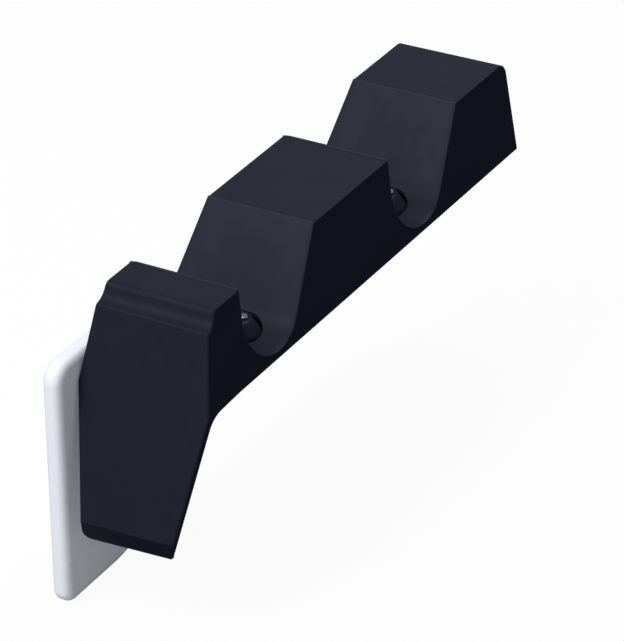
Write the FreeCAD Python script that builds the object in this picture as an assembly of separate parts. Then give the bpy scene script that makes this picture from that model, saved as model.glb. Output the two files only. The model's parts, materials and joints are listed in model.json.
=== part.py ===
import FreeCAD, Part
import math
import os

os.makedirs("parts", exist_ok=True)
Vector = FreeCAD.Vector

# Black bar. X runs across it, Y from its near end to its far end, Z up from the crease line,
# the level at which it is widest. Every length is in millimetres, every angle in degrees.
bar_length = 200.3
crease_width = 53.0
top_width = 43.0
hump_height = 33.0
near_hump_height = 31.9
shell_wall = 2.0
top_edge_radius = 0.5
end_lean = 4.9
end_top_radius = 4.0
front_lean = 20.3
front_corner_radius = 0.8

# Brow: the hollow curve between the leaning front face and the near hump's top.
brow_height = 4.9
brow_run = 3.4
brow_lean = 20.0
brow_radius = 2.9
brow_hollow_radius = 5.8
brow_ledge_slope = 15.0
face_top_radius = 1.1

# Apron: the front face carried on below the crease.
apron_drop = 51.5
apron_bottom_width = 35.8
apron_bottom_shift = -0.9
apron_foot_tilt = 3.4
apron_bevel_height = 7.9
apron_bevel_setback = 2.5
apron_side_depth = 4.6
apron_tip_depth = 2.3
apron_corner_radius = 7.0
apron_overlap = 2.0
apron_cover_depth = 15.5
apron_cover_foot = 4.6
apron_cover_wall = 1.6
apron_cover_floor = 14.0

# Wells for the two controllers.
well_start = 0.1523 * bar_length
well_pitch = 0.4648 * bar_length
well_opening = 44.2
well_near_lean = 9.8
well_far_lean = 39.1
well_radius = 15.0
liner_thickness = 1.2
liner_flare_width = 2.2
liner_flare_depth = 0.6
liner_seam = 0.35
liner_relief_gap = 0.3

# Belly: the closed space under the wells.
belly_depth = 14.0
belly_run = 13.6
split_depth = 5.0
cover_wall = 2.0
cover_gap = 0.15

# Connector boss in each well.
boss_length = 32.0
boss_width = 14.8
boss_offset = 15.0
boss_height = 8.8
boss_shoulder = 3.2
boss_top_length = 25.0
boss_top_width = 9.6
boss_edge = 0.7
boss_gap = 0.25
boss_foot = 1.5
stud_spacing = 20.0
stud_offset = 1.3
stud_radius = 1.3
stud_head_radius = 1.5
stud_rise = 0.9
stud_edge = 0.5
stud_recess_radius = 2.3
stud_recess_depth = 0.7
stud_gap = 0.1

# Boards and what they carry.
board_thickness = 1.6
contact_board_length = 36.0
contact_board_width = 17.0
main_board_length = 27.0
main_board_width = 34.0
board_post_inset = 2.8
main_board_start = 0.4443 * bar_length
board_standoff = 3.0
part_gap = 0.05
capacitor_radius = 3.5
capacitor_height = 12.5
inductor_size = 6.4
inductor_height = 4.5
chip_size = 6.0
chip_height = 1.4
small_chip_length = 3.6
small_chip_width = 3.0
small_chip_height = 1.1
socket_length = 5.6
socket_width = 5.0
socket_height = 5.5
lead_radius = 1.4
lead_line = 15.5
lead_level = -4.2

# Power inlet in the far end.
inlet_width = 12.0
inlet_height = 11.0
inlet_depth = 13.0
inlet_level = 11.0
inlet_bore_radius = 3.3
inlet_bore_depth = 11.0
inlet_pin_radius = 0.85
inlet_pin_recess = 4.6
inlet_gap = 0.15
inlet_flange = 1.4

# White side panel.
panel_gap = 0.5
panel_thickness = 7.5
panel_wall = 2.0
panel_edge_radius = 3.0
panel_top = 9.0
panel_rear_top = 4.0
panel_bottom = 77.5
panel_foot_rise = 3.5
panel_corner_radius = 8.0
panel_rear_bottom = 52.0
panel_tail_bottom = 40.0
panel_front = 10.0
panel_front_lean = 6.7
panel_rear_inset = 1.3
panel_foot_length = 46.0
panel_sweep_end = 80.0
panel_shoulder = 22.0
panel_shoulder_end = 70.0
panel_back_thickness = 2.0
panel_back_gap = 0.15
panel_rib_thickness = 1.4
mount_y = 90.0
mount_z = -22.0

# Fasteners.
screw_radius = 1.5
screw_head_radius = 2.7
screw_head_height = 1.7
screw_gap = 0.1
post_radius = 3.6
board_post_radius = 2.6
cover_post_radius = 4.2
cover_screw_length = 13.0
panel_screw_length = 6.5
connector_screw_length = 12.6
board_screw_length = 5.0
cover_screw_spacing = 16.0
near_post_line = 0.1038 * bar_length
middle_post_line = 0.4144 * bar_length
far_post_inset = 20.3
connector_screw_spacing = 9.0
panel_screw_level = 9.0
panel_screw_places = (33.0, 70.0, 126.0, 172.0)

half_crease = crease_width / 2
half_top = top_width / 2
side_lean = math.atan((half_crease - half_top) / hump_height)
front_slope = math.tan(math.radians(front_lean))
end_slope = math.tan(math.radians(end_lean))
reach = 2 * bar_length
near_reach = well_start + well_opening / 4
main_board_level = -belly_depth + cover_wall + board_standoff

# The main board stands in the middle of the belly's room at its own level.
room_left = -half_crease + cover_wall
belly_ratio = belly_run / belly_depth
room_right = half_crease - cover_wall * math.hypot(1, belly_ratio) + main_board_level * belly_ratio
main_board_line = (room_left + room_right) / 2


def yz(y, z, x=0.0):
    return Vector(x, y, z)


def xz(x, z, y=0.0):
    return Vector(x, y, z)


def xy(x, y, z=0.0):
    return Vector(x, y, z)


def rounded_wire(corners, place):
    """Closed wire through corners given as (a, b, radius), each rounded by its own radius."""
    count = len(corners)
    edges = []
    ends = []
    for index, (a, b, radius) in enumerate(corners):
        before = corners[index - 1]
        after = corners[(index + 1) % count]
        here = Vector(a, b, 0)
        back = (Vector(before[0], before[1], 0) - here).normalize()
        ahead = (Vector(after[0], after[1], 0) - here).normalize()
        if radius <= 0:
            ends.append((here, here, None))
            continue
        half_angle = back.getAngle(ahead) / 2
        setback = radius / math.tan(half_angle)
        inward = (back + ahead).normalize()
        centre = here + inward * (radius / math.sin(half_angle))
        ends.append((here + back * setback, here + ahead * setback, centre - inward * radius))
    for index, (start, finish, middle) in enumerate(ends):
        if middle is not None:
            arc = Part.Arc(place(start.x, start.y), place(middle.x, middle.y), place(finish.x, finish.y))
            edges.append(arc.toShape())
        following = ends[(index + 1) % count][0]
        if finish.distanceToPoint(following) > 1e-6:
            edges.append(Part.makeLine(place(finish.x, finish.y), place(following.x, following.y)))
    return Part.Wire(edges)


def across(corners, low, high):
    """Solid with a side-view outline (y, z, radius), running in X from low to high."""
    wire = rounded_wire(corners, lambda a, b: yz(a, b, low))
    return Part.Face(wire).extrude(Vector(high - low, 0, 0))


def along(corners, low, high):
    """Solid with an end-view outline (x, z, radius), running in Y from low to high."""
    wire = rounded_wire(corners, lambda a, b: xz(a, b, low))
    return Part.Face(wire).extrude(Vector(0, high - low, 0))


def upward(corners, low, high):
    """Solid with a plan outline (x, y, radius), running in Z from low to high."""
    wire = rounded_wire(corners, lambda a, b: xy(a, b, low))
    return Part.Face(wire).extrude(Vector(0, 0, high - low))


def block(x0, x1, y0, y1, z0, z1):
    return Part.makeBox(x1 - x0, y1 - y0, z1 - z0, Vector(x0, y0, z0))


def rod(x, y, low, high, radius):
    return Part.makeCylinder(radius, high - low, Vector(x, y, low), Vector(0, 0, 1))


def post(x, y, low, high, radius):
    """Eight-sided post whose flats stand at radius from its line."""
    corner = radius / math.cos(math.pi / 8)
    angles = [math.pi / 8 + turn * math.pi / 4 for turn in range(8)]
    points = [(x + corner * math.cos(angle), y + corner * math.sin(angle), 0) for angle in angles]
    return upward(points, low, high)


def solid_between(lower, upper):
    """Solid with flat faces between two rings of points that have parallel edges."""
    count = len(lower)
    rings = [lower, upper]
    for index in range(count):
        following = (index + 1) % count
        rings.append([lower[index], lower[following], upper[following], upper[index]])
    faces = [Part.Face(Part.makePolygon(ring + ring[:1])) for ring in rings]
    solid = Part.Solid(Part.Shell(faces))
    if solid.Volume < 0:
        solid.reverse()
    return solid


def rounded_plan(centre_x, centre_y, length, width, radius):
    x0 = centre_x - length / 2
    x1 = centre_x + length / 2
    y0 = centre_y - width / 2
    y1 = centre_y + width / 2
    return [(x0, y0, radius), (x1, y0, radius), (x1, y1, radius), (x0, y1, radius)]


def edges_where(shape, test):
    return [edge for edge in shape.Edges if test(edge)]


def front_y(z):
    """Where the leaning front face stands at a height."""
    return front_slope * z


def side_x(z):
    """Half width of the bar's drafted side above the crease."""
    return half_crease - z * math.tan(side_lean)


def bar_section(inset, top, bottom):
    """End view of the bar, drawn in by inset: drafted sides, chamfer on the right, upright on the left."""
    drop_ratio = belly_run / belly_depth
    shift = inset / math.cos(side_lean)
    right_top = side_x(top) - shift
    right_crease = half_crease - shift
    lower_shift = inset * math.hypot(1, drop_ratio)
    right_low = half_crease - lower_shift - bottom * drop_ratio
    return [
        (right_top, top, 0),
        (right_crease, 0, 0),
        (right_low, -bottom, 0),
        (-half_crease + inset, -bottom, 0),
        (-half_crease + inset, 0, 0),
        (-right_top, top, 0),
    ]


def apron_side(z, side):
    """Where the apron's right (1) or left (-1) border stands at a height below the crease."""
    foot = apron_bottom_width / 2 + side * apron_bottom_shift
    return side * (half_crease + (half_crease - foot) / apron_drop * z)


def apron_section(inset):
    low = -apron_drop - 4.0
    return [
        (side_x(apron_overlap) - inset, apron_overlap, 0),
        (half_crease - inset, 0, 0),
        (apron_side(low, 1) - inset, low, 0),
        (apron_side(low, -1) + inset, low, 0),
        (-half_crease + inset, 0, 0),
        (-side_x(apron_overlap) + inset, apron_overlap, 0),
    ]


def well_frame():
    """Centre of a well's round floor and the outward normals of its two walls, from its near top edge."""
    near = math.radians(well_near_lean)
    far = math.radians(90 - well_far_lean)
    near_down = Vector(-math.sin(near), -math.cos(near), 0)
    near_in = Vector(math.cos(near), -math.sin(near), 0)
    far_down = Vector(-math.cos(far), -math.sin(far), 0)
    far_in = Vector(-math.sin(far), math.cos(far), 0)
    start = near_in * well_radius
    finish = Vector(well_opening, 0, 0) + far_in * well_radius
    gap = finish - start
    cross = near_down.x * -far_down.y + far_down.x * near_down.y
    travel = (gap.x * -far_down.y + far_down.x * gap.y) / cross
    centre = start + near_down * travel + Vector(0, hump_height, 0)
    return centre, near_in, far_in, near_down, far_down


def well_void(index, offset, low, high, top):
    """Prism of a well's U, grown by offset, across the bar from low to high."""
    centre, near_in, far_in, near_down, far_down = well_frame()
    base = Vector(well_start + index * well_pitch, 0, 0)
    size = well_radius + offset
    near_touch = centre - near_in * size
    far_touch = centre - far_in * size
    near_top = near_touch - near_down * ((top - near_touch.y) / -near_down.y)
    far_top = far_touch - far_down * ((top - far_touch.y) / -far_down.y)
    floor = centre - Vector(0, size, 0)
    points = [point + base for point in (near_top, near_touch, floor, far_touch, far_top)]
    near_top, near_touch, floor, far_touch, far_top = [yz(point.x, point.y, low) for point in points]
    wire = Part.Wire([
        Part.makeLine(near_top, near_touch),
        Part.Arc(near_touch, floor, far_touch).toShape(),
        Part.makeLine(far_touch, far_top),
        Part.makeLine(far_top, near_top),
    ])
    return Part.Face(wire).extrude(Vector(high - low, 0, 0))


def boss_y(index):
    return well_start + index * well_pitch + boss_offset


def brow_foot():
    """Where the brow's steep line meets its shallow one."""
    level = near_hump_height - brow_height
    return front_y(level) + brow_run, level


def brow_top_y():
    """Where the brow's steep line meets the near hump's top."""
    return brow_foot()[0] + brow_height * math.tan(math.radians(brow_lean))


def face_top():
    """Height of the leaning face's top edge, where the brow's shallow line meets it."""
    foot_y, foot_z = brow_foot()
    slope = math.tan(math.radians(brow_ledge_slope))
    return (foot_z - slope * foot_y) / (1 - slope * front_slope)


def near_hollow_profile(bottom):
    """Side view of the room behind the front face and under the near hump."""
    shift = shell_wall / math.cos(math.radians(front_lean))
    level = face_top() - shell_wall
    foot_y, foot_z = brow_foot()
    top = near_hump_height - shell_wall
    return [
        (front_y(-bottom) + shift, -bottom, 0),
        (front_y(level) + shift, level, 0),
        (foot_y + 0.85 * shell_wall, foot_z - 0.8 * shell_wall, 0),
        (brow_top_y() + 0.75 * shell_wall, top, 1.0),
        (near_reach, top, 0),
        (near_reach, -bottom, 0),
    ]


def far_hollow_profile(bottom):
    """Side view of the room under the middle and far humps."""
    end_shift = shell_wall / math.cos(math.radians(end_lean))
    top = hump_height - shell_wall
    return [
        (near_reach - 1.0, -bottom, 0),
        (near_reach - 1.0, top, 0),
        (bar_length + end_slope * top - end_shift, top, end_top_radius - shell_wall),
        (bar_length - end_slope * bottom - end_shift, -bottom, 0),
    ]


def apron_profile():
    """Side view of the apron: its face and its tapering side, carried on past its foot."""
    low = -apron_drop - 3.0
    bevel_top = -apron_drop + apron_bevel_height
    shoulder = -apron_side_depth
    taper = (apron_side_depth - apron_tip_depth) / (bevel_top - shoulder)
    return [
        (front_y(apron_overlap), apron_overlap, 0),
        (front_y(low), low, 0),
        (front_y(low) + apron_tip_depth + taper * (bevel_top - low), low, 0),
        (front_y(shoulder) + apron_side_depth, shoulder * 0.2, apron_corner_radius),
        (front_y(shoulder) + 3 * apron_corner_radius, 0.05, 0),
        (front_y(shoulder) + 3 * apron_corner_radius, apron_overlap, 0),
    ]


def apron_foot():
    """Everything above the apron's bevel and foot, which run slightly downhill to the left."""
    bevel_top = -apron_drop + apron_bevel_height
    bevel_y = front_y(bevel_top)
    extension = 3 * apron_bevel_height
    rise = apron_bevel_setback / apron_bevel_height
    keep = across([
        (bevel_y + apron_bevel_setback, -apron_drop, 0),
        (bevel_y + 6 * apron_corner_radius, -apron_drop, 0),
        (bevel_y + 6 * apron_corner_radius, 2 * apron_overlap, 0),
        (bevel_y - rise * extension, 2 * apron_overlap, 0),
        (bevel_y - rise * extension, bevel_top + extension, 0),
    ], -reach, reach)
    keep.rotate(Vector(0, 0, -apron_drop), Vector(0, 1, 0), -apron_foot_tilt)
    return keep


def make_front():
    """Leaning face, apron, brow and near hump, with rounded borders."""
    foot_y, foot_z = brow_foot()
    level = face_top()
    face = across([
        (0, 0, 0),
        (front_y(level), level, face_top_radius),
        (foot_y, foot_z, brow_hollow_radius),
        (brow_top_y(), near_hump_height, brow_radius),
        (near_reach, near_hump_height, 0),
        (near_reach, 0, 0),
    ], -reach, reach)
    face = face.common(along(bar_section(0, near_hump_height, split_depth), -reach, reach))
    apron = across(apron_profile(), -reach, reach)
    apron = apron.common(along(apron_section(0), -reach, reach)).common(apron_foot())
    front = face.fuse(apron).removeSplitter()
    return front.makeFillet(front_corner_radius, edges_where(front, is_front_border))


def is_front_border(edge):
    """The edges between the front face, brow or near hump's top and the sides."""
    middle = edge.valueAt((edge.FirstParameter + edge.LastParameter) / 2)
    if abs(middle.x) < top_width / 2 - 4 or edge.BoundBox.XLength > top_width / 2:
        return False
    if middle.z < 0:
        return abs(middle.y - front_y(middle.z)) < 0.05
    on_side = abs(abs(middle.x) - side_x(middle.z)) < 0.02
    return on_side and middle.z > 0.5 and middle.y < near_reach - 0.1


def make_bar():
    """The bar behind the near hump, solid, with rounded top edges."""
    start = 2.5
    rise = 1.0
    behind = near_reach - 5.0
    bar = across([
        (start, -split_depth, 0),
        (start, rise, 0),
        (behind, rise, 0),
        (behind, hump_height, 0),
        (bar_length + end_slope * hump_height, hump_height, end_top_radius),
        (bar_length - end_slope * split_depth, -split_depth, 0),
    ], -reach, reach)
    bar = bar.common(along(bar_section(0, hump_height, split_depth), -reach, reach))
    return bar.makeFillet(top_edge_radius, edges_where(bar, is_side_border))


def is_side_border(edge):
    """Edges that run round a side of the bar above the crease, from the near well to the far foot."""
    middle = edge.valueAt((edge.FirstParameter + edge.LastParameter) / 2)
    on_side = abs(abs(middle.x) - side_x(middle.z)) < 0.02
    beyond = middle.y > near_reach - 4.9
    return on_side and middle.z > 1.01 and beyond and edge.BoundBox.XLength < top_width / 2


def make_top_shell():
    body = make_bar().fuse(make_front()).removeSplitter()
    below = split_depth + 1
    rooms = [(near_hollow_profile(below), near_hump_height), (far_hollow_profile(below), hump_height)]
    for profile, top in rooms:
        hollow = across(profile, -reach, reach)
        hollow = hollow.common(along(bar_section(shell_wall, top - shell_wall, below), -reach, reach))
        body = body.cut(hollow)
    body = body.cut(apron_hollow())
    for x, y in cover_screw_points():
        top = near_hump_height if y < well_start else hump_height
        pillar = post(x, y, -split_depth, top - shell_wall + 0.5, post_radius)
        pilot = rod(x, y, -split_depth - 1, -split_depth + cover_screw_length, screw_radius + screw_gap)
        body = body.fuse(pillar).cut(pilot)
    for index in (0, 1):
        body = body.cut(well_void(index, liner_thickness, -reach, reach, hump_height + 5))
        body = body.cut(liner_relief(index))
        body = body.cut(seam_void(index))
    body = body.cut(inlet_window())
    return body.removeSplitter()


def liner_relief(index):
    """Clearance round the curved floor of a liner."""
    centre = well_frame()[0]
    radius = well_radius + liner_thickness + liner_relief_gap
    base = Vector(-reach, centre.x + well_start + index * well_pitch, centre.y)
    return Part.makeCylinder(radius, 2 * reach, base, Vector(1, 0, 0))


def seam_void(index):
    """Open the joint line between hump tops and liner to its drawn width."""
    depth = 1.2
    seam = well_void(index, liner_thickness + liner_seam, -reach, reach, hump_height + 5)
    return seam.common(block(-reach, reach, -reach, reach, hump_height - depth, hump_height + 5))


def apron_hollow():
    """The room behind the apron's face, open to the rear."""
    low = -apron_drop + apron_bevel_height
    front = shell_wall / math.cos(math.radians(front_lean))
    room = across([
        (front_y(low) + front, low, 0),
        (front_y(low) + 3 * apron_corner_radius, low, 0),
        (front_y(0) + 3 * apron_corner_radius, apron_overlap, 0),
        (front_y(apron_overlap) + front, apron_overlap, 0),
    ], -reach, reach)
    return room.common(along(apron_section(shell_wall), -reach, reach))


def make_liner(index):
    """Thin lining of a well, flared a little along both sides of the bar."""
    outer = well_void(index, liner_thickness, -reach, reach, hump_height)
    liner = outer.cut(well_void(index, 0, -reach, reach, hump_height + 1))
    liner = liner.common(along(bar_section(0, hump_height, split_depth), -reach, reach))
    flare = well_flare(index)
    liner = liner.cut(flare).cut(flare.mirror(Vector(0, 0, 0), Vector(1, 0, 0)))
    if index == 0:
        liner = liner.cut(block(-reach, reach, -reach, near_reach, near_hump_height, reach))
    aperture = upward(
        rounded_plan(0, boss_y(index), boss_length + 2 * boss_gap, boss_width + 2 * boss_gap,
                     boss_width / 2 + boss_gap - 0.2),
        -split_depth, boss_height + 2)
    return liner.cut(aperture)


def well_flare(index):
    """Wedge round a well's U that widens it towards the right side of the bar."""
    beyond = 0.5 * liner_flare_width
    inner = well_outline(index, 0, -liner_flare_width)
    outer = well_outline(index, liner_flare_depth * (1 + beyond / liner_flare_width), beyond)
    return Part.makeLoft([inner, outer], True, True)


def well_outline(index, offset, shift):
    """Outline of a well's U, grown by offset, in a plane beside the bar's right side, moved out by shift."""
    top = hump_height + 5
    low = -split_depth
    ring = Part.makePolygon([
        Vector(side_x(low) + shift, -reach, low),
        Vector(side_x(low) + shift, reach, low),
        Vector(side_x(top + 5) + shift, reach, top + 5),
        Vector(side_x(top + 5) + shift, -reach, top + 5),
        Vector(side_x(low) + shift, -reach, low),
    ])
    outline = Part.Face(ring).common(well_void(index, offset, -reach, reach, top))
    return outline.Faces[0].OuterWire


def make_boss(index):
    centre = boss_y(index)
    foot = rounded_wire(
        rounded_plan(0, centre, boss_length, boss_width, boss_width / 2 - 0.2),
        lambda a, b: xy(a, b, boss_shoulder))
    crown = rounded_wire(
        rounded_plan(0, centre, boss_top_length, boss_top_width, boss_top_width / 2 - 0.2),
        lambda a, b: xy(a, b, boss_height))
    base = Part.Face(foot).extrude(Vector(0, 0, -boss_shoulder - boss_foot))
    cap = Part.makeLoft([foot, crown], True)
    boss = base.fuse(cap).removeSplitter()
    top_edges = edges_where(boss, lambda edge: edge.BoundBox.ZMin > boss_height - 0.01)
    boss = boss.makeChamfer(boss_edge, top_edges)
    for x in (-stud_spacing / 2, stud_spacing / 2):
        y = centre + stud_offset
        boss = boss.cut(rod(x, y, -boss_foot - 1, boss_height + 1, stud_radius + stud_gap))
        boss = boss.cut(rod(x, y, boss_height - stud_recess_depth, boss_height + 1, stud_recess_radius))
    for x in (-connector_screw_spacing / 2, connector_screw_spacing / 2):
        boss = boss.cut(rod(x, centre, -boss_foot - 1, boss_height - 2.5, screw_radius + screw_gap))
    return boss


def make_studs(index):
    """Two round metal contacts standing on the contact board and showing in the boss's top."""
    studs = []
    for x in (-stud_spacing / 2, stud_spacing / 2):
        y = boss_y(index) + stud_offset
        shoulder = boss_height - stud_recess_depth + part_gap
        stem = rod(x, y, -boss_foot, shoulder, stud_radius)
        head = rod(x, y, shoulder, boss_height + stud_rise, stud_head_radius)
        rims = edges_where(head, lambda edge: edge.BoundBox.ZMin > shoulder + 0.1)
        studs.append(stem.fuse(head.makeChamfer(stud_edge, rims)).removeSplitter())
    return Part.makeCompound(studs)


def make_contact_board(index):
    centre = boss_y(index)
    top = -boss_foot
    board = upward(
        rounded_plan(0, centre, contact_board_length, contact_board_width, 0),
        top - board_thickness, top)
    for x in (-connector_screw_spacing / 2, connector_screw_spacing / 2):
        board = board.cut(rod(x, centre, top - board_thickness - 1, top + 1, screw_radius + screw_gap))
    return board


def cover_screw_points():
    half = cover_screw_spacing / 2
    lines = (near_post_line, middle_post_line, bar_length - far_post_inset)
    return [(x, y) for y in lines for x in (-half, half)]


def connector_screw_points():
    half = connector_screw_spacing / 2
    return [(x, boss_y(index)) for index in (0, 1) for x in (-half, half)]


def cover_start():
    """Where the belly begins, behind the apron's own cover."""
    return front_y(-apron_side_depth) + 3 * apron_corner_radius - 5.0


def make_bottom_cover():
    floor = -belly_depth
    start = cover_start()
    end = bar_length - end_slope * belly_depth
    outer = along(bar_section(0, hump_height, belly_depth), start, end)
    keep = block(-reach, reach, start, end, floor, -split_depth - cover_gap)
    outer = outer.common(keep)
    long_edges = edges_where(outer, lambda edge: edge.BoundBox.YLength > bar_length / 2
                             and edge.BoundBox.ZMax < floor + 0.01)
    outer = outer.makeFillet(1.5, long_edges)
    inner = along(bar_section(cover_wall, hump_height, belly_depth - cover_wall),
                  start + cover_wall, end - cover_wall)
    cover = outer.cut(inner)
    for x, y in cover_screw_points():
        if y < start:
            continue
        cover = cover.fuse(post(x, y, floor + 1, -split_depth - cover_gap, cover_post_radius).common(outer))
    board_seat = -boss_foot - board_thickness
    for x, y in connector_screw_points():
        cover = cover.fuse(post(x, y, floor + 1, board_seat, cover_post_radius))
    for x, y in main_board_posts():
        cover = cover.fuse(post(x, y, floor + 1, floor + cover_wall + board_standoff, board_post_radius))
        cover = cover.cut(rod(x, y, floor + 1, floor + cover_wall + board_standoff + 1,
                              screw_radius + screw_gap))
    for x, y in cover_screw_points() + connector_screw_points():
        if y < start:
            continue
        cover = cover.cut(rod(x, y, floor - 1, reach, screw_radius + screw_gap).common(
            block(-reach, reach, -reach, reach, floor - 1, 0)))
        cover = cover.cut(rod(x, y, floor - 1, floor + 2.0, screw_head_radius + 0.2))
    for y in panel_screw_places:
        hole = Part.makeCylinder(screw_radius + screw_gap, 3 * cover_wall,
                                 Vector(-half_crease - cover_wall, y, -panel_screw_level), Vector(1, 0, 0))
        cover = cover.cut(hole)
    return cover.removeSplitter()


def make_apron_cover():
    """Tapering back of the apron, closing the room behind its face."""
    top = -cover_gap - split_depth
    low = -apron_drop + apron_bevel_height + 2.0

    def ring(z, depth, side, inset):
        front = front_y(z) + shell_wall / math.cos(math.radians(front_lean)) + 0.1 + inset
        right = apron_side(z, 1) - shell_wall - cover_gap - inset
        left = apron_side(z, -1) + shell_wall + cover_gap + inset
        back = front_y(z) + depth - inset
        run = back - front - side
        points = [
            (left, front), (right, front), (right, front + side),
            (right - run, back), (left + run, back), (left, front + side),
        ]
        return [xy(a, b, z) for a, b in points]

    outer = solid_between(ring(low, apron_cover_foot, 0.8, 0), ring(top, apron_cover_depth, 2.2, 0))
    floor = low + apron_cover_floor
    share = apron_cover_floor / (top - low)
    depth = apron_cover_foot + share * (apron_cover_depth - apron_cover_foot)
    inner = solid_between(ring(floor, depth, 1.2, apron_cover_wall),
                          ring(top + 0.01, apron_cover_depth, 2.2, apron_cover_wall))
    return outer.cut(inner)


def main_board_posts():
    """Posts at the main board's corners; the left pair stands further in, clear of the cover's wall."""
    y0 = main_board_start + board_post_inset
    y1 = main_board_start + main_board_length - board_post_inset
    x0 = main_board_line - main_board_width / 2 + 2 * board_post_inset
    x1 = main_board_line + main_board_width / 2 - 1.8 * board_post_inset
    return [(x0, y0), (x0, y1), (x1, y0), (x1, y1)]


def board_top():
    return main_board_level + board_thickness


def make_main_board():
    centre_y = main_board_start + main_board_length / 2
    top = board_top()
    board = upward(
        rounded_plan(main_board_line, centre_y, main_board_width, main_board_length, 0),
        top - board_thickness, top)
    for x, y in main_board_posts():
        board = board.cut(rod(x, y, top - 2 * board_thickness, top + 1, screw_radius + screw_gap))
    return board


def board_point(across_share, along_share):
    """Point on the main board, by the shares of its width and length."""
    x = main_board_line + (across_share - 0.5) * main_board_width
    return x, main_board_start + along_share * main_board_length


def on_board(place, length, width, height):
    x, y = place
    return upward(rounded_plan(x, y, length, width, 0), board_top(), board_top() + height)


def make_capacitors():
    cans = []
    for x, y in (board_point(0.31, 0.5), board_point(0.765, 0.5)):
        can = rod(x, y, board_top(), board_top() + capacitor_height, capacitor_radius)
        rims = edges_where(can, lambda edge: edge.BoundBox.ZMin > board_top() + 1)
        cans.append(can.makeChamfer(0.5, rims))
    return Part.makeCompound(cans)


def make_inductors():
    return Part.makeCompound([
        on_board(board_point(0.51, share), inductor_size, inductor_size, inductor_height)
        for share in (0.22, 0.78)
    ])


def make_chips():
    return Part.makeCompound([
        on_board(board_point(0.51, 0.5), chip_size, chip_size, chip_height),
        on_board(board_point(0.68, 0.174), small_chip_length, small_chip_width, small_chip_height),
        on_board(board_point(0.68, 0.826), small_chip_length, small_chip_width, small_chip_height),
    ])


def socket_places():
    x = main_board_line - main_board_width / 2 + socket_width / 2 + 0.6
    return [(x, board_point(0, share)[1]) for share in (0.35, 0.65)]


def make_sockets():
    return Part.makeCompound([
        on_board(place, socket_width, socket_length, socket_height) for place in socket_places()
    ])


def make_inlet_housing():
    face = inlet_face_y()
    low = inlet_level - inlet_height / 2
    body = along([
        (-inlet_width / 2, low, 0.8),
        (inlet_width / 2, low, 0.8),
        (inlet_width / 2, low + inlet_height, 0.8),
        (-inlet_width / 2, low + inlet_height, 0.8),
    ], face - inlet_depth, face)
    rim_low = low - inlet_flange
    rim_high = low + inlet_height + inlet_flange
    rim_side = inlet_width / 2 + inlet_flange
    wall = shell_wall / math.cos(math.radians(end_lean))
    flange = along([
        (-rim_side, rim_low, 1.5),
        (rim_side, rim_low, 1.5),
        (rim_side, rim_high, 1.5),
        (-rim_side, rim_high, 1.5),
    ], face - inlet_depth + 2, face)
    flange = flange.common(across([
        (face - inlet_depth, rim_low, 0),
        (bar_length + end_slope * rim_low - wall, rim_low, 0),
        (bar_length + end_slope * rim_high - wall, rim_high, 0),
        (face - inlet_depth, rim_high, 0),
    ], -reach, reach))
    bore = Part.makeCylinder(inlet_bore_radius, inlet_bore_depth + 1,
                             Vector(0, face - inlet_bore_depth, inlet_level), Vector(0, 1, 0))
    pin_hole = Part.makeCylinder(inlet_pin_radius, inlet_depth + 1,
                                 Vector(0, face - inlet_depth - 0.5, inlet_level), Vector(0, 1, 0))
    return body.fuse(flange).cut(bore).cut(pin_hole).removeSplitter()


def inlet_face_y():
    return bar_length + end_slope * (inlet_level - inlet_height / 2) - 0.3


def make_inlet_pin():
    face = inlet_face_y()
    start = face - inlet_depth - 2.5
    pin = Part.makeCylinder(inlet_pin_radius, inlet_depth + 2.5 - inlet_pin_recess,
                            Vector(0, start, inlet_level), Vector(0, 1, 0))
    tip = edges_where(pin, lambda edge: edge.BoundBox.YMin > face - inlet_pin_recess - 0.1)
    return pin.makeChamfer(0.3, tip)


def inlet_window():
    low = inlet_level - inlet_height / 2 - inlet_gap
    half = inlet_width / 2 + inlet_gap
    return along([
        (-half, low, 0.9),
        (half, low, 0.9),
        (half, low + inlet_height + 2 * inlet_gap, 0.9),
        (-half, low + inlet_height + 2 * inlet_gap, 0.9),
    ], bar_length - 3 * shell_wall, bar_length + 3 * shell_wall)


def panel_outline():
    slope = math.tan(math.radians(panel_front_lean))
    rear = bar_length - panel_rear_inset
    return [
        (-panel_front + slope * panel_top, panel_top, panel_corner_radius),
        (-panel_front - slope * panel_bottom, -panel_bottom, panel_corner_radius),
        (panel_foot_length, -panel_bottom + panel_foot_rise, 2 * panel_corner_radius),
        (panel_sweep_end, -panel_rear_bottom, 3 * panel_corner_radius),
        (rear - 3.0, -panel_tail_bottom, panel_corner_radius),
        (rear, panel_rear_top, 0.75 * panel_corner_radius),
        (panel_shoulder_end, panel_rear_top, 0),
        (panel_shoulder, panel_top, 0),
    ]


def panel_inner_x():
    return -half_crease - panel_gap


def panel_outer_x():
    return panel_inner_x() - panel_thickness


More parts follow.
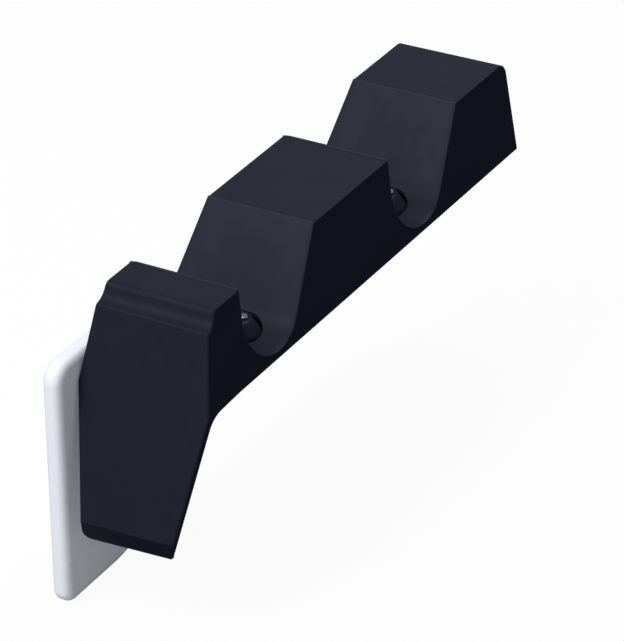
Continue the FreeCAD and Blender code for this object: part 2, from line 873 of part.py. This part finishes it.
def make_side_panel():
    inner_x = panel_inner_x()
    outer_x = panel_outer_x()
    body = across(panel_outline(), outer_x, inner_x)
    body = body.makeFillet(panel_edge_radius, body.Edges)
    cavity_wire = rounded_wire(panel_outline(), lambda a, b: yz(a, b, outer_x - 1))
    cavity_wire = cavity_wire.makeOffset2D(-panel_wall)
    depth = panel_thickness - panel_wall + 1
    cavity = Part.Face(cavity_wire).extrude(Vector(depth, 0, 0))
    body = body.cut(cavity)
    floor_x = inner_x - panel_wall
    stop_x = outer_x + panel_back_thickness
    for y in panel_screw_places:
        boss = Part.makeCylinder(post_radius, floor_x - stop_x + 0.5,
                                 Vector(stop_x, y, -panel_screw_level), Vector(1, 0, 0))
        pad = Part.makeCylinder(post_radius + 1.0, panel_gap + 0.2,
                                Vector(inner_x - 0.2, y, -panel_screw_level), Vector(1, 0, 0))
        hole = Part.makeCylinder(screw_radius + screw_gap, panel_thickness + 3,
                                 Vector(stop_x - 1, y, -panel_screw_level), Vector(1, 0, 0))
        body = body.fuse([boss, pad]).cut(hole)
    ribs = []
    room = cavity.copy()
    for y in (0.125 * panel_sweep_end, 0.375 * panel_sweep_end, 0.625 * panel_sweep_end):
        rib = block(stop_x + 0.1, floor_x + 0.3, y - panel_rib_thickness / 2, y + panel_rib_thickness / 2,
                    -panel_bottom - 1.0, -panel_rear_bottom + 12.0)
        ribs.append(rib.common(room))
    return body.fuse(ribs).removeSplitter()


def make_panel_back():
    outer_x = panel_outer_x()
    wire = rounded_wire(panel_outline(), lambda a, b: yz(a, b, outer_x))
    wire = wire.makeOffset2D(-panel_wall - panel_back_gap)
    return Part.Face(wire).extrude(Vector(panel_back_thickness, 0, 0))


def make_screw(base, direction, length):
    """Screw: base is the underside of its head, direction the way its shank runs."""
    shank = Part.makeCylinder(screw_radius, length, base, direction)
    head_start = base - direction * screw_head_height
    head = Part.makeCylinder(screw_head_radius, screw_head_height, head_start, direction)
    return shank.fuse(head).removeSplitter()


def make_cover_screws():
    up = Vector(0, 0, 1)
    base_z = -belly_depth + 2.0
    start = cover_start()
    return Part.makeCompound([
        make_screw(Vector(x, y, base_z), up, cover_screw_length) for x, y in cover_screw_points() if y > start
    ])


def make_connector_screws():
    up = Vector(0, 0, 1)
    return Part.makeCompound([
        make_screw(Vector(x, y, -belly_depth + 2.0), up, connector_screw_length)
        for x, y in connector_screw_points()
    ])


def make_board_screws():
    down = Vector(0, 0, -1)
    return Part.makeCompound([
        make_screw(Vector(x, y, board_top()), down, board_screw_length) for x, y in main_board_posts()
    ])


def make_panel_screws():
    left = Vector(-1, 0, 0)
    x = -half_crease + cover_wall
    return Part.makeCompound([
        make_screw(Vector(x, y, -panel_screw_level), left, panel_screw_length) for y in panel_screw_places
    ])


def lead(points):
    """Insulated lead along a route of (x, y, z) points."""
    corners = [Vector(*point) for point in points]
    ring = Part.Wire([Part.makeCircle(lead_radius, corners[0], corners[1] - corners[0])])
    return Part.makePolygon(corners).makePipeShell([ring], True, False, 1)


def make_contact_lead(index):
    """Lead from the edge of a contact board to its socket on the main board."""
    side = 1 if index == 0 else -1
    board_edge = boss_y(index) + side * contact_board_width / 2
    socket_x, socket_y = socket_places()[index]
    socket_edge = socket_y - side * socket_length / 2
    board_level = -boss_foot - board_thickness / 2
    travel = socket_edge - board_edge
    return lead([
        (-lead_line, board_edge, board_level),
        (-lead_line, board_edge + 0.3 * travel, board_level),
        (socket_x, board_edge + 0.6 * travel, lead_level),
        (socket_x, socket_edge, lead_level),
    ])


def make_inlet_lead():
    """Lead from the rear of the power inlet, down between the posts, to the far edge of the main board."""
    start = inlet_face_y() - inlet_depth
    start_level = inlet_level - 2.5
    board_edge = main_board_start + main_board_length
    board_level = board_top() - board_thickness / 2
    crossing = boss_y(1) + contact_board_width / 2 + 5.2
    travel = start - crossing
    line = main_board_line - 10.0
    return lead([
        (0, start, start_level),
        (0, start - 0.25 * travel, start_level),
        (0, start - 0.6 * travel, lead_level - 2.3),
        (line, crossing, board_level),
        (line, board_edge, board_level),
    ])


def save(name, shape):
    shape = shape.copy()
    shape.translate(Vector(-panel_outer_x(), -mount_y, -mount_z))
    print(name, len(shape.Solids), "solids", round(shape.Volume, 1), "mm3", "valid", shape.isValid())
    shape.exportStep("parts/" + name + ".step")


save("top_shell", make_top_shell())
save("near_well_liner", make_liner(0))
save("far_well_liner", make_liner(1))
save("near_connector_boss", make_boss(0))
save("far_connector_boss", make_boss(1))
save("near_contact_studs", make_studs(0))
save("far_contact_studs", make_studs(1))
save("near_contact_board", make_contact_board(0))
save("far_contact_board", make_contact_board(1))
save("bottom_cover", make_bottom_cover())
save("apron_back_cover", make_apron_cover())
save("main_board", make_main_board())
save("capacitors", make_capacitors())
save("inductors", make_inductors())
save("charge_chips", make_chips())
save("lead_sockets", make_sockets())
save("inlet_housing", make_inlet_housing())
save("inlet_pin", make_inlet_pin())
save("side_panel", make_side_panel())
save("panel_back", make_panel_back())
save("cover_screws", make_cover_screws())
save("connector_screws", make_connector_screws())
save("board_screws", make_board_screws())
save("panel_screws", make_panel_screws())
save("near_contact_lead", make_contact_lead(0))
save("far_contact_lead", make_contact_lead(1))
save("inlet_lead", make_inlet_lead())
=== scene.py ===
import bpy
import json
import math
from mathutils import Euler, Matrix, Vector


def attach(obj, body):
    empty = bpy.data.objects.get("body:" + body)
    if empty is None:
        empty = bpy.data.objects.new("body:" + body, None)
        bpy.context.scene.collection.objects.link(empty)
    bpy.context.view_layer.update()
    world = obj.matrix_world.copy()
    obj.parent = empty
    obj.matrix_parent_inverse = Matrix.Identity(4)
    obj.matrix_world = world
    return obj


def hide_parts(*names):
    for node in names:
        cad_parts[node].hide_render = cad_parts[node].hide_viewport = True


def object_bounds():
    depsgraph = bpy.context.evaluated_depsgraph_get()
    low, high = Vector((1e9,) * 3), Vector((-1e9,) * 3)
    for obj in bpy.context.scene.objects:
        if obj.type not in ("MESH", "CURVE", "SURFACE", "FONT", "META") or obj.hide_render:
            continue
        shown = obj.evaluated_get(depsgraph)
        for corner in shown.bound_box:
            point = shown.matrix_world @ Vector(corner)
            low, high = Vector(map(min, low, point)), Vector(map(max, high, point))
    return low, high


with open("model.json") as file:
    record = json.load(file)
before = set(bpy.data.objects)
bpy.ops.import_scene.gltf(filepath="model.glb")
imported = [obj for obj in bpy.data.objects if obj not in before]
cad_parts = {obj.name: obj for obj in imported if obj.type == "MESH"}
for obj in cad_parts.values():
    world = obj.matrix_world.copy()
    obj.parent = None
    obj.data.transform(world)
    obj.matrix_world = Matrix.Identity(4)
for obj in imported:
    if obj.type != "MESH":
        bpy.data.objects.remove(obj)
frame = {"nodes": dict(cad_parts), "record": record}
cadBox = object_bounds()
mm = 0.001


# shader nodes

class Wire:
    # the output socket of a node, which sums and products can be made from
    def __init__(self, nodes, socket):
        self.nodes = nodes
        self.socket = socket

    def join(self, operation, other):
        return self.nodes.add("ShaderNodeMath", {"operation": operation}, {0: self, 1: other})

    def __add__(self, other):
        return self.join("ADD", other)

    def __mul__(self, other):
        return self.join("MULTIPLY", other)

    __radd__ = __add__
    __rmul__ = __mul__


class Nodes:
    # the nodes of one material or of the world
    def __init__(self, owner):
        owner.use_nodes = True
        self.owner = owner
        self.tree = owner.node_tree
        self.tree.nodes.clear()

    def add(self, kind, settings, sockets, output=0):
        made = self.tree.nodes.new(kind)
        for key, value in settings.items():
            setattr(made, key, value)
        for key, value in sockets.items():
            if isinstance(value, Wire):
                self.tree.links.new(value.socket, made.inputs[key])
            else:
                made.inputs[key].default_value = value
        return Wire(self, made.outputs[output]) if made.outputs else None

    def rayKind(self, name):
        return self.add("ShaderNodeLightPath", {}, {}, name)

    def mixShaders(self, factor, first, second):
        return self.add("ShaderNodeMixShader", {}, {0: factor, 1: first, 2: second})

    def place(self):
        return self.add("ShaderNodeTexCoord", {}, {}, "Object")

    def noise(self, size, detail=3.0, rough=0.55, stretch=(1.0, 1.0, 1.0)):
        stretched = self.add("ShaderNodeMapping", {}, {"Vector": self.place(), "Scale": stretch})
        return self.add("ShaderNodeTexNoise", {}, {
            "Vector": stretched, "Scale": 1.0 / size, "Detail": detail, "Roughness": rough}, "Fac")

    def share(self, value, low=0.3, high=0.7):
        # 0 up to low, 1 from high on
        return self.add("ShaderNodeMapRange", {}, {"Value": value, "From Min": low, "From Max": high})

    def blend(self, factor, first, second):
        # inputs 6 and 7 and output 2 are the ones for colours
        return self.add("ShaderNodeMix", {"data_type": "RGBA"}, {0: factor, 6: first, 7: second}, 2)

    def bump(self, height, strength, distance):
        return self.add("ShaderNodeBump", {}, {
            "Height": height, "Strength": strength, "Distance": distance})

    def close(self, sockets):
        shader = self.add("ShaderNodeBsdfPrincipled", {}, sockets)
        self.add("ShaderNodeOutputMaterial", {}, {"Surface": shader})
        return self.owner


def newFinish(name):
    return Nodes(bpy.data.materials.new(name))


def tone(red, green, blue):
    # screen levels from 0 to 255 as the linear colour that Blender takes
    linear = []
    for level in (red / 255, green / 255, blue / 255):
        linear.append(level / 12.92 if level <= 0.04045 else ((level + 0.055) / 1.055) ** 2.4)
    return (*linear, 1.0)


# finishes

darkPlastic = {
    "colour": tone(23, 25, 38),
    "deeper": tone(21, 23, 36),
    "cloudSize": 24 * mm,
    "grainSize": 0.45 * mm,
    "grainDepth": 0.012 * mm,
    "grainStrength": 0.5,
    "rubSize": 6 * mm,
    "smoothest": 0.49,
    "rubRise": 0.07,
    "shine": 0.10,
    "refraction": 1.46,
}
linerPlastic = dict(darkPlastic, colour=tone(33, 37, 49), deeper=tone(31, 35, 47), smoothest=0.47)
bossPlastic = dict(darkPlastic, colour=tone(36, 40, 51), deeper=tone(34, 38, 49), smoothest=0.45)
inletPlastic = dict(darkPlastic, colour=tone(24, 24, 27), deeper=tone(20, 20, 23), smoothest=0.47)
whitePlastic = dict(
    darkPlastic, colour=tone(232, 235, 242), deeper=tone(229, 232, 240),
    grainSize=0.5 * mm, grainDepth=0.008 * mm, smoothest=0.37, shine=0.45)


def mouldedPlastic(name, look):
    finish = newFinish(name)
    cloud = finish.noise(look["cloudSize"], detail=2.0)
    grain = finish.noise(look["grainSize"], detail=2.0, rough=0.5)
    rub = finish.noise(look["rubSize"], detail=4.0, rough=0.6)
    return finish.close({
        "Base Color": finish.blend(finish.share(cloud), look["colour"], look["deeper"]),
        "Roughness": look["smoothest"] + look["rubRise"] * finish.share(rub),
        "Normal": finish.bump(grain, look["grainStrength"], look["grainDepth"]),
        "Specular IOR Level": look["shine"],
        "IOR": look["refraction"],
    })


contactMetal = {
    "colour": tone(128, 128, 130),
    "scratchSize": 0.25 * mm,
    "scratchStretch": (1.0, 1.0, 6.0),
    "scratchDepth": 0.004 * mm,
    "scratchStrength": 0.25,
    "smoothest": 0.33,
    "scratchRise": 0.13,
}
canMetal = dict(contactMetal, colour=tone(176, 178, 182), scratchSize=0.4 * mm, smoothest=0.25)
zincSteel = dict(contactMetal, colour=tone(150, 152, 156), scratchSize=0.5 * mm, smoothest=0.29)


def plainMetal(name, look):
    finish = newFinish(name)
    scratches = finish.noise(look["scratchSize"], rough=0.6, stretch=look["scratchStretch"])
    return finish.close({
        "Base Color": look["colour"],
        "Metallic": 1.0,
        "Roughness": look["smoothest"] + look["scratchRise"] * finish.share(scratches),
        "Normal": finish.bump(scratches, look["scratchStrength"], look["scratchDepth"]),
    })


solderMask = {
    "mask": tone(20, 70, 40),
    "trace": tone(44, 104, 58),
    "pitch": 2.2 * mm,
    "traceShare": 0.05,
    "traceDepth": 0.03 * mm,
    "traceStrength": 0.3,
    "hazeSize": 3 * mm,
    "smoothest": 0.25,
    "hazeRise": 0.11,
}


def circuitBoard(name, look):
    finish = newFinish(name)
    black = tone(0, 0, 0)
    traces = finish.add("ShaderNodeTexBrick", {}, {
        "Vector": finish.place(), "Scale": 1.0 / look["pitch"], "Mortar Size": look["traceShare"],
        "Color1": black, "Color2": black, "Mortar": tone(255, 255, 255)}, "Color")
    haze = finish.noise(look["hazeSize"])
    return finish.close({
        "Base Color": finish.blend(traces, look["mask"], look["trace"]),
        "Roughness": look["smoothest"] + look["hazeRise"] * finish.share(haze),
        "Normal": finish.bump(traces, look["traceStrength"], look["traceDepth"]),
    })


ferriteGrey = {
    "colour": tone(52, 52, 55),
    "speckSize": 0.8 * mm,
    "speckDepth": 0.02 * mm,
    "speckStrength": 0.3,
    "speckDarkness": 0.35,
    "smoothest": 0.65,
    "speckRise": 0.10,
    "shine": 0.4,
}
chipBlack = dict(ferriteGrey, colour=tone(26, 26, 28), smoothest=0.50)
socketWhite = dict(ferriteGrey, colour=tone(222, 219, 206), smoothest=0.35)
sleeveBlack = dict(ferriteGrey, colour=tone(30, 30, 32), smoothest=0.45)


def speckledPart(name, look):
    finish = newFinish(name)
    specks = finish.noise(look["speckSize"])
    darker = look["speckDarkness"] * finish.share(specks, low=0.35)
    return finish.close({
        "Base Color": finish.blend(darker, look["colour"], tone(0, 0, 0)),
        "Roughness": look["smoothest"] + look["speckRise"] * finish.share(specks),
        "Normal": finish.bump(specks, look["speckStrength"], look["speckDepth"]),
        "Specular IOR Level": look["shine"],
    })


finishes = {
    "dark_shell": mouldedPlastic("blueBlackPlastic", darkPlastic),
    "dark_liner": mouldedPlastic("wellPlastic", linerPlastic),
    "connector_plastic": mouldedPlastic("connectorPlastic", bossPlastic),
    "inlet_plastic": mouldedPlastic("inletPlastic", inletPlastic),
    "white_panel": mouldedPlastic("whitePlastic", whitePlastic),
    "contact_metal": plainMetal("contactMetal", contactMetal),
    "can_metal": plainMetal("canMetal", canMetal),
    "screw_steel": plainMetal("zincSteel", zincSteel),
    "circuit_board": circuitBoard("solderMask", solderMask),
    "ferrite": speckledPart("ferriteGrey", ferriteGrey),
    "chip_plastic": speckledPart("chipBlack", chipBlack),
    "socket_plastic": speckledPart("socketWhite", socketWhite),
    "lead_sleeve": speckledPart("sleeveBlack", sleeveBlack),
}
print("finishes ready:", len(finishes))

slotOf = {row["node"]: row["material_slot"] for row in frame["record"]["subparts"]}
for name, node in frame["nodes"].items():
    node.data.materials.clear()
    node.data.materials.append(finishes[slotOf[name]])
print("frame pieces finished:", len(frame["nodes"]))


# modelling helpers

def selectNone():
    if bpy.context.mode != "OBJECT":
        bpy.ops.object.mode_set(mode="OBJECT")
    bpy.ops.object.select_all(action="DESELECT")


def selectOnly(piece):
    selectNone()
    piece.select_set(True)
    bpy.context.view_layer.objects.active = piece


def applyAll(piece):
    selectOnly(piece)
    for modifier in list(piece.modifiers):
        bpy.ops.object.modifier_apply(modifier=modifier.name)


edgeLook = {
    "bevelOver": math.radians(40.0),
    "bevelSteps": 2,
    "smoothUnder": math.radians(24.0),
    "flatWeight": 80,
}


def softenEdges(piece, width):
    bevel = piece.modifiers.new("softEdges", "BEVEL")
    bevel.width = width
    bevel.segments = edgeLook["bevelSteps"]
    bevel.angle_limit = edgeLook["bevelOver"]
    applyAll(piece)
    bpy.ops.object.shade_smooth_by_angle(angle=edgeLook["smoothUnder"])
    even = piece.modifiers.new("evenNormals", "WEIGHTED_NORMAL")  # keeps flat walls flat beside round edges
    even.keep_sharp = True
    even.weight = edgeLook["flatWeight"]
    applyAll(piece)


# visible mouldings with soft edges, over their solids

dressed = {
    "softEdge": 0.22 * mm,
    "mergeWithin": 0.002 * mm,
    "flatWithin": math.radians(0.6),
    "pieces": {
        "shellSkin": "top_shell",
        "nearWellSkin": "near_well_liner",
        "farWellSkin": "far_well_liner",
        "nearBossSkin": "near_connector_boss",
        "farBossSkin": "far_connector_boss",
        "panelSkin": "side_panel",
        "bellySkin": "bottom_cover",
        "apronBackSkin": "apron_back_cover",
    },
}


def dressNode(pieceName, nodeName):
    piece = bpy.data.objects.new(pieceName, frame["nodes"][nodeName].data.copy())
    bpy.context.scene.collection.objects.link(piece)
    selectOnly(piece)
    bpy.ops.object.mode_set(mode="EDIT")
    bpy.ops.mesh.select_all(action="SELECT")
    bpy.ops.mesh.remove_doubles(threshold=dressed["mergeWithin"])
    bpy.ops.mesh.dissolve_limited(angle_limit=dressed["flatWithin"], delimit={"NORMAL"})
    bpy.ops.object.mode_set(mode="OBJECT")
    softenEdges(piece, dressed["softEdge"])
    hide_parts(nodeName)
    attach(piece, "root")
    print("dressed", pieceName, len(piece.data.polygons))


for pieceName, nodeName in dressed["pieces"].items():
    dressNode(pieceName, nodeName)


# the apron's bevel and the white panel, carried on to their feet

barPlace = Vector((34.5, -90.0, 22.0)) * mm  # near end of the bar's crease, from which both are measured
nearly = 0.1 * mm


def trimmedBlock(name, low, high, cuts):
    # a block between two corners, without what lies past each (point, direction) plane
    selectNone()
    middle = (Vector(low) + Vector(high)) / 2
    bpy.ops.mesh.primitive_cube_add(size=1.0, location=middle, scale=Vector(high) - Vector(low))
    piece = bpy.context.active_object
    piece.name = name
    bpy.ops.object.transform_apply(location=True, rotation=True, scale=True)
    bpy.ops.object.mode_set(mode="EDIT")
    for point, outwards in cuts:
        bpy.ops.mesh.select_all(action="SELECT")
        bpy.ops.mesh.bisect(plane_co=point, plane_no=outwards, use_fill=True, clear_outer=True)
    bpy.ops.object.mode_set(mode="OBJECT")
    return piece


def roundEdges(piece, chosen, radius, steps):
    # chosen tells from an edge's two ends whether it is rounded
    selectOnly(piece)
    bpy.ops.object.mode_set(mode="EDIT")
    bpy.ops.mesh.select_mode(type="EDGE")
    bpy.ops.mesh.select_all(action="DESELECT")
    bpy.ops.object.mode_set(mode="OBJECT")
    corners = piece.data.vertices
    for edge in piece.data.edges:
        first, second = (corners[index].co for index in edge.vertices)
        edge.select = chosen(first, second)
    bpy.ops.object.mode_set(mode="EDIT")
    bpy.ops.mesh.bevel(offset=radius, segments=steps, clamp_overlap=True)
    bpy.ops.object.mode_set(mode="OBJECT")


def finishFoot(piece, slotName, softEdge):
    softenEdges(piece, softEdge)
    piece.data.transform(Matrix.Translation(barPlace))
    piece.data.materials.append(finishes[slotName])
    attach(piece, "root")
    print("made", piece.name, len(piece.data.polygons))


apronLip = {
    "blockLow": (-30 * mm, -20 * mm, -56 * mm),
    "blockHigh": (30 * mm, -8 * mm, -38 * mm),
    "bevelTop": (0.0, -16.13 * mm, -43.60 * mm),
    "bevelFoot": (0.0, -13.63 * mm, -51.50 * mm),
    "tilt": math.radians(-3.4),
    "proud": 0.05 * mm,
    "wall": 1.5 * mm,
    "rightTop": (18.4 * mm, -43.0 * mm),
    "rightFoot": (15.2 * mm, -50.4 * mm),
    "leftTop": (-19.7 * mm, -44.8 * mm),
    "leftFoot": (-21.5 * mm, -52.7 * mm),
    "cornerRadius": 3.6 * mm,
    "cornerSteps": 8,
    "softEdge": 0.2 * mm,
}


def makeApronLip():
    across = Vector((1.0, 0.0, 0.0))
    upwards = Vector((0.0, 0.0, 1.0))
    top = Vector(apronLip["bevelTop"])
    foot = Vector(apronLip["bevelFoot"])
    turn = Matrix.Rotation(apronLip["tilt"], 3, "Y")
    pivot = Vector((0.0, 0.0, foot.z))
    start = pivot + turn @ (top - pivot)
    ahead = (turn @ (foot - top).cross(across)).normalized()
    cuts = [
        (start + ahead * apronLip["proud"], ahead),
        (start - ahead * apronLip["wall"], -ahead),
        (start, turn @ upwards),
        (pivot, turn @ -upwards),
    ]
    for side, (upperX, upperZ), (lowerX, lowerZ) in (
            (1, apronLip["rightTop"], apronLip["rightFoot"]),
            (-1, apronLip["leftTop"], apronLip["leftFoot"])):
        outwards = Vector((upperZ - lowerZ, 0.0, lowerX - upperX)) * side
        cuts.append((Vector((upperX, 0.0, upperZ)), outwards.normalized()))
    lip = trimmedBlock("apronLip", apronLip["blockLow"], apronLip["blockHigh"], cuts)
    footX = min(corner.co.x for corner in lip.data.vertices)

    def atLeftFoot(first, second):
        return max(first.x, second.x) < footX + nearly

    roundEdges(lip, atLeftFoot, apronLip["cornerRadius"], apronLip["cornerSteps"])
    finishFoot(lip, "dark_shell", apronLip["softEdge"])


panelFoot = {
    "outerX": -34.46 * mm,
    "innerX": -26.95 * mm,
    "bottom": -80.3 * mm,
    "top": -64.0 * mm,
    "nearEnd": -30.0 * mm,
    "farEnd": 47.0 * mm,
    "nearLean": math.radians(6.7),
    "nearAtCrease": -10.05 * mm,
    "riseStart": 14.0 * mm,
    "riseSlope": 0.23,
    "cornerRadius": 5.0 * mm,
    "cornerSteps": 8,
    "edgeRadius": 3.0 * mm,
    "edgeSteps": 6,
    "softEdge": 0.05 * mm,
}


def makePanelFoot():
    bottom = panelFoot["bottom"]
    top = panelFoot["top"]
    lean = panelFoot["nearLean"]
    forwards = Vector((0.0, -math.cos(lean), math.sin(lean)))
    downwards = Vector((0.0, panelFoot["riseSlope"], -1.0)).normalized()
    cuts = [
        (Vector((0.0, panelFoot["nearAtCrease"], 0.0)), forwards),
        (Vector((0.0, panelFoot["riseStart"], bottom)), downwards),
    ]
    foot = trimmedBlock("panelFoot", (panelFoot["outerX"], panelFoot["nearEnd"], bottom),
                        (panelFoot["innerX"], panelFoot["farEnd"], top), cuts)

    def acrossBottom(first, second):
        return abs(first.x - second.x) > nearly and max(first.z, second.z) < bottom + nearly

    def belowTop(first, second):
        return abs(first.x - second.x) < nearly and min(first.z, second.z) < top - nearly

    roundEdges(foot, acrossBottom, panelFoot["cornerRadius"], panelFoot["cornerSteps"])
    roundEdges(foot, belowTop, panelFoot["edgeRadius"], panelFoot["edgeSteps"])
    finishFoot(foot, "white_panel", panelFoot["softEdge"])


makeApronLip()
makePanelFoot()


# floor, world, lamps and camera

floorLook = {
    "level": cadBox[0][2] - 3.5 * mm,
    "size": 6.0,
    "seen": (0.8, 0.8, 0.8, 1.0),
    "glow": (1.0, 1.0, 1.0, 1.0),
    "glowShare": 0.94,
    "lighting": (0.26, 0.26, 0.27, 1.0),
    "mirrored": (0.03, 0.03, 0.03, 1.0),
}


def makeFloor():
    selectNone()
    bpy.ops.mesh.primitive_plane_add(size=floorLook["size"], location=(0.0, 0.0, 0.0))
    floor = bpy.context.active_object
    floor.name = "studioFloor"
    floor.data.transform(Matrix.Translation((0.0, 0.0, floorLook["level"])))
    finish = newFinish("studioWhite")
    seen, lighting, mirrored = (
        finish.add("ShaderNodeBsdfDiffuse", {}, {"Color": floorLook[use]})
        for use in ("seen", "lighting", "mirrored"))
    glow = finish.add("ShaderNodeEmission", {}, {"Color": floorLook["glow"]})
    toCamera = finish.mixShaders(floorLook["glowShare"], seen, glow)
    toObject = finish.mixShaders(finish.rayKind("Is Glossy Ray"), lighting, mirrored)
    mixed = finish.mixShaders(finish.rayKind("Is Camera Ray"), toObject, toCamera)
    finish.add("ShaderNodeOutputMaterial", {}, {"Surface": mixed})
    floor.data.materials.append(finish.owner)


worldLook = {
    "lighting": {"Color": (1.0, 1.0, 1.0, 1.0), "Strength": 0.28},
    "mirrored": {"Color": (0.77, 0.83, 1.0, 1.0), "Strength": 0.68},
    "seen": {"Color": (1.0, 1.0, 1.0, 1.0), "Strength": 1.0},
}


def makeWorld():
    world = bpy.data.worlds.new("studioWorld")
    bpy.context.scene.world = world
    sky = Nodes(world)
    lighting, mirrored, seen = (
        sky.add("ShaderNodeBackground", {}, worldLook[use]) for use in ("lighting", "mirrored", "seen"))
    toObject = sky.mixShaders(sky.rayKind("Is Glossy Ray"), lighting, mirrored)
    mixed = sky.mixShaders(sky.rayKind("Is Camera Ray"), toObject, seen)
    sky.add("ShaderNodeOutputWorld", {}, {"Surface": mixed})


lampAim = Vector((0.03, 0.0, 0.0))
lamps = {
    "keyLamp": {"at": (-0.42, -0.66, 1.00), "size": 0.5, "power": 9.6},
    "frontLamp": {"at": (-0.45, -1.20, 0.16), "size": 0.4, "power": 2.6},
    "fillLamp": {"at": (0.55, -1.10, 0.08), "size": 0.4, "power": 3.6},
    "topLamp": {"at": (0.06, 0.44, 0.76), "size": 0.5, "power": 3.8},
}


def makeLamp(name, lamp):
    data = bpy.data.lights.new(name, "AREA")
    data.size = lamp["size"]
    data.energy = lamp["power"]
    lampObject = bpy.data.objects.new(name, data)
    bpy.context.scene.collection.objects.link(lampObject)
    lampObject.location = lamp["at"]
    lampObject.rotation_euler = (lampAim - Vector(lamp["at"])).to_track_quat("-Z", "Y").to_euler()


camera = {
    "at": (0.67149, -0.88310, 0.66304),
    "degrees": (58.6391, 4.4753, 32.7851),
    "lens": 210.86,
    "sensor": 36.0,
    "nearest": 0.05,
    "farthest": 20.0,
}


def makeCamera():
    data = bpy.data.cameras.new("photoCamera")
    data.sensor_fit = "HORIZONTAL"
    data.sensor_width = camera["sensor"]
    data.lens = camera["lens"]
    data.clip_start = camera["nearest"]
    data.clip_end = camera["farthest"]
    cameraObject = bpy.data.objects.new("photoCamera", data)
    bpy.context.scene.collection.objects.link(cameraObject)
    turn = Euler([math.radians(angle) for angle in camera["degrees"]])
    cameraObject.matrix_world = Matrix.Translation(camera["at"]) @ turn.to_matrix().to_4x4()
    bpy.context.scene.camera = cameraObject


makeFloor()
makeWorld()
for name, lamp in lamps.items():
    makeLamp(name, lamp)
makeCamera()
bpy.context.scene.view_settings.view_transform = "Standard"
print("studio ready")
